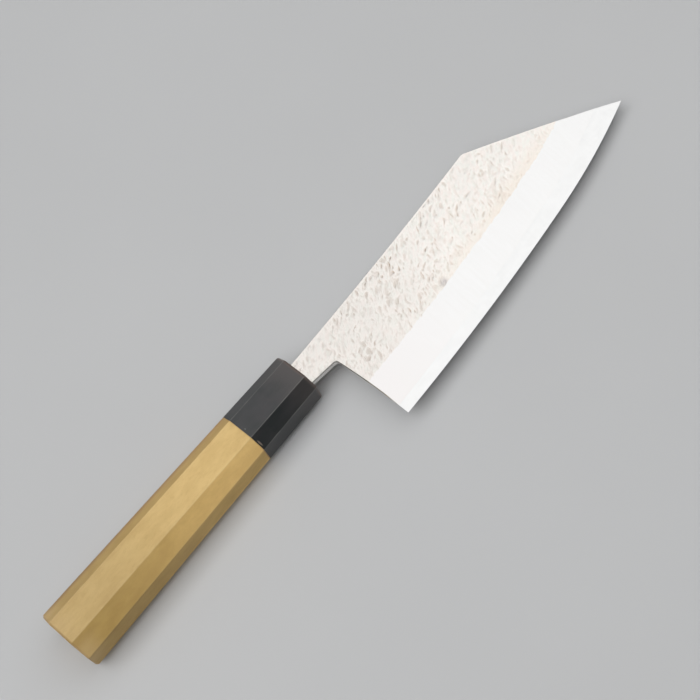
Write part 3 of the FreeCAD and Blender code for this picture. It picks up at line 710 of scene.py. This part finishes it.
def new_group(name, inputs, outputs):
    """An empty shader group. Inputs are name: (kind, value), outputs are name: kind."""
    tree = bpy.data.node_groups.new(name, "ShaderNodeTree")
    for key, (kind, value) in inputs.items():
        socket = tree.interface.new_socket(key, in_out="INPUT", socket_type="NodeSocket" + kind)
        if value is not None:
            socket.default_value = value
    for key, kind in outputs.items():
        tree.interface.new_socket(key, in_out="OUTPUT", socket_type="NodeSocket" + kind)
    given, out = tree.nodes.new("NodeGroupInput"), tree.nodes.new("NodeGroupOutput")
    return tree, given.outputs, out.inputs


def use(tree, group, **inputs):
    """Places a group in a material and gives back its outputs."""
    return put(tree, "Group", {"node_tree": group}, **inputs).outputs


def make_streaks():
    """Long noise: the same noise stretched along one way and turned about Z."""
    tree, given, out = new_group("long streaks", {
        "Place": ("Vector", None), "Stretch": ("Vector", (1.0, 1.0, 1.0)), "Turn": ("Float", 0.0),
        "Detail": ("Float", 3.0), "Softness": ("Float", 0.5)}, {"Streak": "Float"})
    turn = put(tree, "CombineXYZ", Z=given["Turn"]).outputs[0]
    turned = put(tree, "Mapping", Vector=given["Place"], Rotation=turn).outputs[0]
    stretched = put(tree, "Mapping", Vector=turned, Scale=given["Stretch"]).outputs[0]
    noise = put(tree, "TexNoise", Vector=stretched, Scale=1.0, Detail=given["Detail"],
                Roughness=given["Softness"]).outputs[0]
    tree.links.new(noise, out["Streak"])
    return tree


def make_handling():
    """What use leaves on a finish: soft smudges, as a value round 0.5, and a little dust."""
    tree, given, out = new_group("handling", {
        "Place": ("Vector", None), "Size": ("Float", 60.0)}, {"Smudge": "Float", "Dust": "Float"})
    slow = put(tree, "TexNoise", Vector=given["Place"], Scale=given["Size"], Detail=4.0,
               Roughness=0.55).outputs[0]
    quick = put(tree, "TexNoise", Vector=given["Place"], Scale=times(tree, given["Size"], 40.0),
                Detail=2.0, Roughness=0.7).outputs[0]
    tree.links.new(slow, out["Smudge"])
    tree.links.new(spread(tree, quick, 0.62, 0.8), out["Dust"])
    return tree


def make_edge_wear_and_highlight():
    """Edge wear and painted highlight along rounded corners: the corner mark, broken up by noise.
    """
    tree, given, out = new_group("worn edge", {
        "Place": ("Vector", None), "Corner": ("Float", 0.0), "Amount": ("Float", 1.0)},
        {"Wear And Highlight": "Float"})
    patchy = put(tree, "TexNoise", Vector=given["Place"], Scale=140.0, Detail=5.0,
                 Roughness=0.6).outputs[0]
    share = spread(tree, patchy, 0.3, 0.75, 0.35, 1.0)
    tree.links.new(times(tree, given["Corner"], share, given["Amount"]), out["Wear And Highlight"])
    return tree


LESS_THICK, LESS_WIDE = 0.0163, 0.0197     # what the handle's half sizes lose along X


def make_facets():
    """Which facet of the handle a place is on. The broad ones are where the height from the
    middle plane, with the taper added back, is greatest; the upright ones lie lowest and the
    slanting ones between. Edge side is one on the half that the cutting edge is on."""
    tree, given, out = new_group("facets", {"Place": ("Vector", None)},
                                 {"Broad": "Float", "Slanting": "Float", "Edge Side": "Float"})
    x, y, z = put(tree, "SeparateXYZ", Vector=given["Place"]).outputs
    height = calc(tree, "ABSOLUTE", z)
    level = plus(tree, height, times(tree, x, LESS_THICK))
    broad = spread(tree, level, 0.01055, 0.01085)
    raised = spread(tree, height, 0.0032, 0.0042)
    tree.links.new(broad, out["Broad"])
    tree.links.new(calc(tree, "SUBTRACT", raised, broad, clamp=True), out["Slanting"])
    tree.links.new(spread(tree, y, 0.002, -0.002), out["Edge Side"])
    return tree


def make_spot():
    """An oval spot: one within its core, falling smoothly to nought at its outline. The
    distance from its middle is divided by its half widths, so one is on the outline."""
    tree, given, out = new_group("spot", {
        "Place": ("Vector", None), "Middle": ("Vector", (0.0, 0.0, 0.0)),
        "Size": ("Vector", (1.0, 1.0, 1.0)), "Core": ("Float", 0.5)}, {"Spot": "Float"})
    moved = put(tree, "VectorMath", {"operation": "SUBTRACT"}, in0=given["Place"],
                in1=given["Middle"]).outputs[0]
    scaled = put(tree, "VectorMath", {"operation": "DIVIDE"}, in0=moved,
                 in1=given["Size"]).outputs[0]
    away = put(tree, "VectorMath", {"operation": "LENGTH"}, in0=scaled).outputs["Value"]
    tree.links.new(spread(tree, away, 1.0, given["Core"]), out["Spot"])
    return tree


STREAKS, HANDLING, EDGE_WEAR_AND_HIGHLIGHT, FACETS, SPOT = (
    make_streaks(), make_handling(), make_edge_wear_and_highlight(), make_facets(), make_spot())
ALONG_STROKES = -0.87       # the way the hammer's strokes lean, as a turn about Z
ALONG_GRINDING = 0.12       # and the grinding lines


def new_material(name, **settings):
    """A material with one surface, its even values set, and the piece's own coordinates."""
    material = bpy.data.materials.new(name)
    material.use_nodes = True
    tree = material.node_tree
    tree.nodes.clear()
    surface = put(tree, "BsdfPrincipled", None, **settings)
    put(tree, "OutputMaterial", Surface=surface.outputs[0])
    return material, tree, surface, put(tree, "TexCoord").outputs["Object"]


def mark(tree, name):
    """A mark that the mesh carries, as a value."""
    return put(tree, "Attribute", {"attribute_name": name}).outputs["Fac"]


def streaks(tree, place, stretch, detail=3.0, softness=0.5, turn=0.0):
    """The long streaks of a finish; a longer stretch number makes them finer that way."""
    return use(tree, STREAKS, Place=place, Stretch=stretch, Turn=turn, Detail=detail,
               Softness=softness)["Streak"]


def spot(tree, place, middle, size, core):
    """One oval spot, by its middle, half widths and core."""
    return use(tree, SPOT, Place=place, Middle=middle, Size=size, Core=core)["Spot"]


def wear_and_highlight(tree, place, amount):
    """Edge wear and painted highlight on the handle's rounded corners."""
    corner = mark(tree, "arris")
    return use(tree, EDGE_WEAR_AND_HIGHLIGHT, Place=place, Corner=corner, Amount=amount)["Wear And Highlight"]


def handled(tree, place, size, smooth, rough):
    """Roughness between two values, uneven from handling."""
    smudge = use(tree, HANDLING, Place=place, Size=size)["Smudge"]
    return spread(tree, smudge, 0.3, 0.7, smooth, rough)


def feed(tree, surface, colour, roughness, height, bump, distance):
    """Gives the surface its colour, its roughness and a bumped height."""
    tree.links.new(colour, surface.inputs["Base Color"])
    tree.links.new(roughness, surface.inputs["Roughness"])
    normal = put(tree, "Bump", Height=height, Strength=bump, Distance=distance).outputs[0]
    tree.links.new(normal, surface.inputs["Normal"])


# ------------------------------------------------------------------ materials

def soft_steel():
    """Cladding: bright hammered side with painted shade, warm grey in its marks and darker on
    their steep banks, a grey smear at the bevel line in mid-blade, a straw tint above the
    bevel's front half, and a finely ground bevel."""
    material, tree, surface, place = new_material("soft_steel", Metallic=1.0)
    dent, bank, side, above_bevel = (mark(tree, name) for name in (
        "hammer_mark", "mark_bank", "hammered_side", "above_bevel"))
    x = put(tree, "SeparateXYZ", Vector=place).outputs[0]
    fine = streaks(tree, place, (500.0, 1500.0, 500.0), softness=0.6, turn=ALONG_STROKES)
    cloud = streaks(tree, place, (60.0, 110.0, 60.0), 4.0, 0.55, ALONG_STROKES)
    tint = streaks(tree, place, (330.0, 600.0, 330.0), 2.0, turn=ALONG_STROKES)
    lines = streaks(tree, place, (1000.0, 60.0, 300.0), 2.0, turn=ALONG_GRINDING)

    heelward = spread(tree, x, 0.215, 0.155)
    bright, brightest = (0.945, 0.91, 0.866), (0.98, 0.942, 0.894)
    rosy, greenish = (0.955, 0.875, 0.825), (0.90, 0.905, 0.85)
    flats = layered(tree, blend(tree, spread(tree, cloud, 0.35, 0.65), bright, brightest),
                    (spread(tree, tint, 0.5, 0.68, 0.0, 0.5), rosy),
                    (spread(tree, tint, 0.5, 0.34, 0.0, 0.5), greenish))
    # Painted shade: the marks' hollows are darkened towards warm grey, standing in for the dark
    # they mirror; a fine speckle, stronger towards the heel, is added to the same mask.
    shade = times(tree, spread(tree, dent, 0.1, 0.75), spread(tree, cloud, 0.3, 0.6, 0.5, 1.0),
                  spread(tree, heelward, 0.0, 1.0, 0.34, 0.5))
    stroke = times(tree, spread(tree, fine, 0.52, 0.72),
                   spread(tree, heelward, 0.0, 1.0, 0.12, 0.24))
    shade = calc(tree, "ADD", shade, stroke, clamp=True)
    mark_painted_shade = blend(tree, heelward, (0.60, 0.45, 0.33), (0.56, 0.46, 0.38))
    # Painted shade: the steep banks on one side of each mark are darkened, brown towards the heel
    # and greyer towards the point, standing in for the dark they mirror.
    bank_shade = times(tree, spread(tree, bank, 0.08, 0.6), spread(tree, cloud, 0.3, 0.55, 0.4, 1.0))
    brown_bank_shade, grey_bank_shade = (0.59, 0.415, 0.28), (0.62, 0.54, 0.47)
    bank_shade_tone = blend(tree, spread(tree, x, 0.215, 0.255), brown_bank_shade, grey_bank_shade)
    band = times(tree, spread(tree, above_bevel, 7.0, 0.0), spread(tree, x, 0.170, 0.235),
                 spread(tree, x, 0.278, 0.250, 0.2, 1.0),
                 spread(tree, cloud, 0.25, 0.6, 0.4, 1.0))
    straw = blend(tree, shade, (0.94, 0.85, 0.755), (0.66, 0.48, 0.34))
    smear = spot(tree, place, (0.1948, -0.0204, 0.0013), (0.0030, 0.0028, 0.0008), 0.2)
    smear = times(tree, smear, spread(tree, fine, 0.35, 0.6, 0.25, 0.55))
    dull, smear_grey = (0.66, 0.61, 0.57), (0.42, 0.39, 0.41)
    hammered = layered(tree, flats, (shade, mark_painted_shade), (times(tree, bank_shade, 0.68), bank_shade_tone),
                       (times(tree, heelward, 0.24), dull), (times(tree, band, 0.7), straw),
                       (smear, smear_grey))

    grey, pale, rosy_grey = (0.908, 0.904, 0.895), (0.932, 0.929, 0.924), (0.89, 0.853, 0.842)
    ground = layered(tree, blend(tree, spread(tree, lines, 0.3, 0.7), grey, pale),
                     (times(tree, spread(tree, x, 0.20, 0.145), 0.6), rosy_grey))
    on_bevel = calc(tree, "SUBTRACT", 1.0, side)
    rough = plus(tree, handled(tree, place, 45.0, 0.215, 0.24), times(tree, shade, 0.10))
    rough = plus(tree, rough, times(tree, spread(tree, lines, 0.35, 0.65, -0.02, 0.02), on_bevel))
    height = plus(tree, times(tree, lines, on_bevel), times(tree, fine, side, 2.0))
    feed(tree, surface, blend(tree, side, ground, hammered), rough, height, 0.08, 0.00001)
    return material


def hard_steel():
    """Core: whiter and finer than the cladding, brightest on the honed edge."""
    material, tree, surface, place = new_material("hard_steel", Metallic=1.0)
    lines = streaks(tree, place, (1200.0, 70.0, 300.0), 2.0, turn=ALONG_GRINDING)
    cloud = streaks(tree, place, (160.0, 300.0, 220.0))
    grey, pale, honed = (0.895, 0.895, 0.89), (0.92, 0.92, 0.915), (0.95, 0.95, 0.95)
    plate = blend(tree, spread(tree, cloud, 0.3, 0.7), grey, pale)
    colour = blend(tree, mark(tree, "honed_edge"), plate, honed)
    rough = plus(tree, handled(tree, place, 45.0, 0.205, 0.23),
                 spread(tree, lines, 0.35, 0.65, -0.02, 0.02))
    feed(tree, surface, colour, rough, lines, 0.05, 0.00001)
    return material


def pale_wood():
    """Fine-grained pale wood: growth rings round a far axis, fibres and short pores along
    the handle, paler towards the joint, browner end grain and rubbed corners at the butt, a
    brown vein down one arris, and a brown line along the joint that is darkest below.
    Painted shade makes the slanting and upright facets darker than the two broad ones.
    Towards the joint painted light makes the slanting facet on the edge's side paler, and
    painted shade makes the one on the spine's side browner; the edge's side is also painted
    darker at the butt. Edge wear and a painted highlight lie on the rounded corners."""
    material, tree, surface, place = new_material("pale_wood", Specular_IOR_Level=0.35)
    x, y, z = put(tree, "SeparateXYZ", Vector=place).outputs
    wander = streaks(tree, place, (9.0, 60.0, 60.0))
    mottle = streaks(tree, place, (110.0, 230.0, 230.0), 5.0, 0.6)
    fibre = streaks(tree, place, (330.0, 900.0, 900.0), 4.0, 0.7)
    pores = spread(tree, streaks(tree, place, (520.0, 5200.0, 5200.0), 2.0, 0.6), 0.60, 0.74)
    along, butt_end = spread(tree, x, 0.0, 0.1), spread(tree, x, 0.0011, 0.0006)

    heart_y, heart_z = plus(tree, y, 0.042), plus(tree, z, -0.075)
    square = plus(tree, times(tree, heart_y, heart_y), times(tree, heart_z, heart_z))
    years = plus(tree, times(tree, calc(tree, "SQRT", square), 330.0), times(tree, wander, 2.4))
    ring = calc(tree, "FRACT", years)
    ring = times(tree, spread(tree, ring, 0.0, 0.75), spread(tree, ring, 1.0, 0.82))

    facets = use(tree, FACETS, Place=place)
    mottled = spread(tree, mottle, 0.3, 0.7)
    # Painted shade: the slanting and upright facets take a darker, more saturated copy of the
    # broad facets' colour, for the light they lose.
    broad = blend(tree, mottled, (0.700, 0.484, 0.196), (0.775, 0.551, 0.234))
    sides_painted_shade = blend(tree, mottled, (0.590, 0.388, 0.130), (0.670, 0.452, 0.158))
    # Painted light and shade on the slanting facets: on the edge's side darker at the butt and
    # paler at the joint, on the spine's side darker and browner towards the joint.
    spine_side_painted_shade = blend(tree, along, (1.0, 1.0, 1.0), (0.80, 0.80, 0.86))
    edge_side_painted_light_and_shade = blend(tree, along, (0.92, 0.90, 0.80), (1.14, 1.14, 1.22))
    slant_painted_light_and_shade = blend(tree, facets["Edge Side"], spine_side_painted_shade, edge_side_painted_light_and_shade)
    sides_painted_shade = blend(tree, facets["Slanting"], sides_painted_shade, slant_painted_light_and_shade, "MULTIPLY")

    arris = plus(tree, y, times(tree, x, LESS_WIDE))
    vein = times(tree, spread(tree, arris, 0.0106, 0.0126), spread(tree, wander, 0.36, 0.56))
    joint_line = times(tree, spread(tree, x, 0.10005, 0.10045),
                       spread(tree, z, 0.0062, 0.0042, 0.2, 0.8))
    brown = calc(tree, "MAXIMUM", times(tree, vein, 0.62), joint_line)
    brown = calc(tree, "MAXIMUM", brown,
                 times(tree, butt_end, spread(tree, mottle, 0.35, 0.65, 0.1, 0.4)))
    rubbed = times(tree, spread(tree, x, 0.011, 0.001),
                   spread(tree, wander, 0.42, 0.58, 0.08, 0.34))
    late_wood, fibre_brown = (0.52, 0.345, 0.13), (0.56, 0.35, 0.125)
    pore_brown, dark_brown = (0.40, 0.25, 0.10), (0.34, 0.19, 0.10)
    rubbed_pale, wear_and_highlight_pale = (0.82, 0.60, 0.34), (0.80, 0.61, 0.33)
    colour = layered(
        tree, blend(tree, facets["Broad"], sides_painted_shade, broad),
        (times(tree, ring, plus(tree, times(tree, butt_end, 0.35), 0.09)), late_wood),
        (spread(tree, fibre, 0.52, 0.30, 0.0, 0.25), fibre_brown),
        (times(tree, pores, 0.18), pore_brown),
        # The rounded corners get edge wear and a painted highlight.
        (brown, dark_brown), (rubbed, rubbed_pale), (wear_and_highlight(tree, place, 0.2), wear_and_highlight_pale))
    lightness = spread(tree, along, 0.0, 1.0, 0.77, 1.0)
    colour = blend(tree, lightness, (0.0, 0.0, 0.0), colour)
    relief = calc(tree, "SUBTRACT", times(tree, fibre, 0.6), pores)
    feed(tree, surface, colour, handled(tree, place, 35.0, 0.50, 0.62), relief, 0.2, 0.00003)
    return material


def horn():
    """Dark horn: cool near the wood, browner towards the front and brownest on the rounded
    rim, greyer on the two broad facets by painted sheen and blacker on the others by
    painted shade, with painted highlight and some wear on the rounded corners, fine fibres,
    a satin polish, a pale fleck where rind was left and a smaller pale fleck near the joint."""
    material, tree, surface, place = new_material("horn")
    x = put(tree, "SeparateXYZ", Vector=place).outputs[0]
    fibre = streaks(tree, place, (160.0, 2400.0, 2400.0))
    cloud = streaks(tree, place, (110.0, 190.0, 190.0), 4.0)
    tint = streaks(tree, place, (75.0, 120.0, 120.0), turn=1.0)
    front = spread(tree, plus(tree, x, times(tree, cloud, 0.006)), 0.118, 0.134)
    rim = times(tree, spread(tree, x, 0.1302, 0.1318), spread(tree, tint, 0.25, 0.6, 0.5, 1.0))
    broad = use(tree, FACETS, Place=place)["Broad"]
    rind = spot(tree, place, (0.1014, -0.0086, 0.0064), (0.0004, 0.0018, 0.0020), 0.5)
    # A small pale fleck on the top broad facet just ahead of the joint.
    pale_fleck = spot(tree, place, (0.1018, -0.0015, 0.0092), (0.0003, 0.00045, 0.0005), 0.4)
    black, soft_black, plum = (0.018, 0.022, 0.022), (0.034, 0.034, 0.036), (0.040, 0.034, 0.036)
    fibre_brown, front_brown = (0.06, 0.052, 0.046), (0.074, 0.064, 0.061)
    broad_grey_painted_sheen, side_black_painted_shade = (0.10, 0.10, 0.105), (0.005, 0.007, 0.008)
    rim_brown, wear_and_highlight_grey = (0.125, 0.092, 0.078), (0.165, 0.16, 0.15)
    rind_brown, fleck_grey = (0.18, 0.145, 0.12), (0.15, 0.15, 0.15)
    colour = layered(
        tree, blend(tree, spread(tree, cloud, 0.3, 0.7), black, soft_black),
        (spread(tree, tint, 0.52, 0.7, 0.0, 0.7), plum),
        (times(tree, spread(tree, fibre, 0.5, 0.8), 0.25), fibre_brown),
        (times(tree, front, 0.85), front_brown),
        # Painted sheen and shade: grey laid over the broad facets and near black over the others,
        # for how the light falls on them.
        (times(tree, broad, 0.17), broad_grey_painted_sheen),
        (spread(tree, broad, 0.0, 1.0, 0.45, 0.0), side_black_painted_shade),
        # Painted highlight on the rounded corners, with some wear.
        (rim, rim_brown), (wear_and_highlight(tree, place, 0.8), wear_and_highlight_grey),
        (rind, rind_brown), (pale_fleck, fleck_grey))
    feed(tree, surface, colour, handled(tree, place, 55.0, 0.30, 0.40), fibre, 0.10, 0.00002)
    return material


def turned_wood():
    """The hidden dowel: plain turned wood with lengthwise grain and lathe rings."""
    material, tree, surface, place = new_material("dowel_wood")
    grain = streaks(tree, place, (60.0, 1500.0, 1500.0), 4.0)
    lathe = streaks(tree, place, (2600.0, 30.0, 30.0), 1.0)
    colour = blend(tree, spread(tree, grain, 0.3, 0.7), (0.48, 0.34, 0.19), (0.62, 0.46, 0.28))
    rough = spread(tree, grain, 0.3, 0.7, 0.62, 0.75)
    feed(tree, surface, colour, rough, lathe, 0.3, 0.00004)
    return material


def resin():
    """Dark resin in the ferrule's mouth: matt, slightly grainy, a little dusty."""
    material, tree, surface, place = new_material("resin")
    marks = use(tree, HANDLING, Place=place, Size=300.0)
    colour = blend(tree, marks["Dust"], (0.028, 0.024, 0.021), (0.09, 0.08, 0.07))
    rough = spread(tree, marks["Smudge"], 0.3, 0.7, 0.45, 0.65)
    feed(tree, surface, colour, rough, marks["Smudge"], 0.3, 0.00005)
    return material


# ------------------------------------------------------------------ stage

BACKDROP = (0.60, 0.605, 0.61)
MIDDLE = (0.15, 0.0, 0.0)       # the middle of the knife, in metres


def floor_material():
    """Pale floor; far from the knife it passes into the backdrop as seen and as mirrored."""
    material, tree, surface, place = new_material("floor", Roughness=0.9, Specular_IOR_Level=0.2)
    soft = put(tree, "TexNoise", Vector=place, Scale=9.0, Detail=3.0).outputs[0]
    dark, light = (0.556, 0.561, 0.566), (0.566, 0.571, 0.576)
    colour = blend(tree, spread(tree, soft, 0.3, 0.7), dark, light)
    tree.links.new(colour, surface.inputs["Base Color"])
    ray = put(tree, "LightPath").outputs
    seen = calc(tree, "MAXIMUM", ray["Is Camera Ray"], ray["Is Glossy Ray"])
    away = put(tree, "VectorMath", {"operation": "DISTANCE"}, in0=place, in1=MIDDLE)
    far = spread(tree, away.outputs["Value"], 0.35, 1.1)
    backdrop = put(tree, "Emission", Color=BACKDROP, Strength=1.0).outputs[0]
    mixed = put(tree, "MixShader", in0=times(tree, seen, far), in1=surface.outputs[0],
                in2=backdrop).outputs[0]
    end = next(node for node in tree.nodes if node.type == "OUTPUT_MATERIAL")
    tree.links.new(mixed, end.inputs["Surface"])
    return material


def make_floor():
    """A plain floor through the handle's lower broad facet, on which the knife lies. The
    facet rises along X by half of what the handle loses in thickness."""
    mesh = bpy.data.meshes.new("floor")
    rise = (BUTT["thickness"] - FRONT["thickness"]) / 2 / HANDLE_LENGTH
    level = -BUTT["thickness"] / 2 * MM
    corners = [(x, y, level + rise * x) for x, y in ((-3, -3), (3, -3), (3, 3), (-3, 3))]
    mesh.from_pydata(corners, [], [(0, 1, 2, 3)])
    mesh.materials.append(floor_material())
    placed("floor", mesh)


def make_lamp(name, place, size, power, aim=MIDDLE, matt=True, gloss=True):
    """A soft lamp, turned to face what it aims at. One without matt is a card that shows
    only in gloss and metal; one without gloss lights only matt surfaces and never glares in
    the blade."""
    lamp = bpy.data.lights.new(name, "AREA")
    lamp.shape, lamp.size, lamp.size_y, lamp.energy = "RECTANGLE", size[0], size[1], power
    holder = placed(name, lamp)
    holder.visible_diffuse, holder.visible_glossy = matt, gloss
    holder.location = place
    way = np.array(aim) - np.array(place)
    tilt = math.acos(-way[2] / np.linalg.norm(way))
    holder.rotation_euler = (tilt, 0.0, math.atan2(-way[0], way[1] + 1e-9))


def make_camera():
    """Looks down on the knife from the handle's side of the cutting edge."""
    camera = bpy.data.cameras.new("camera")
    camera.lens, camera.sensor_width = 94.68, 36.0
    camera.clip_start = 0.01
    holder = placed("camera", camera)
    holder.location = (0.03353, -0.30176, 0.63200)
    holder.rotation_euler = (0.41153, 0.22026, -0.84735)
    bpy.context.scene.camera = holder


def make_world(strength):
    """Even soft light; the camera sees the backdrop's own colour instead."""
    world = bpy.data.worlds.new("studio")
    world.use_nodes = True
    tree = world.node_tree
    tree.nodes.clear()
    ray = put(tree, "LightPath").outputs
    light = put(tree, "Background", Color=(1.0, 1.0, 1.0), Strength=strength).outputs[0]
    seen = put(tree, "Background", Color=BACKDROP, Strength=1.0).outputs[0]
    mixed = put(tree, "MixShader", in0=ray["Is Camera Ray"], in1=light, in2=seen).outputs[0]
    put(tree, "OutputWorld", in0=mixed)
    bpy.context.scene.world = world


# ------------------------------------------------------------------ put together

STEEL = soft_steel()
cladding("hammered_cladding_left", "cladding_left", seed=3, side=1, material=STEEL)
cladding("hammered_cladding_right", "cladding_right", seed=8, side=-1, material=STEEL)
hard_core("hard_core", "blade_core", hard_steel())
wooden_body(pale_wood())
horn_ferrule(horn())
for node, material in (("tang_dowel", turned_wood()), ("mouth_seal", resin())):
    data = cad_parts[node].data
    if not data.materials:
        data.materials.append(material)
    for place in range(len(data.materials)):
        data.materials[place] = material

make_floor()
make_lamp("softbox", (0.55, 0.0, 0.90), size=(2.3, 1.20), power=7.5, aim=(0.55, 0.0, 0.0))
for name, power, matt in (("top_lamp", 15.5, True), ("top_card", 6.0, False)):
    make_lamp(name, (-0.75, 0.05, 1.56), (1.6, 1.6), power, matt=matt, gloss=not matt)
make_lamp("back_card", (-0.1, 1.2, 0.5), size=(3.4, 1.0), power=5.0, aim=(-0.1, 0.0, 0.5),
          matt=False)
make_lamp("front_card", (1.1, -0.75, 0.45), size=(1.3, 0.9), power=1.7, aim=(0.15, 0.0, 0.45),
          matt=False)
make_world(strength=0.17)
make_camera()
bpy.context.scene.view_settings.view_transform = "Standard"
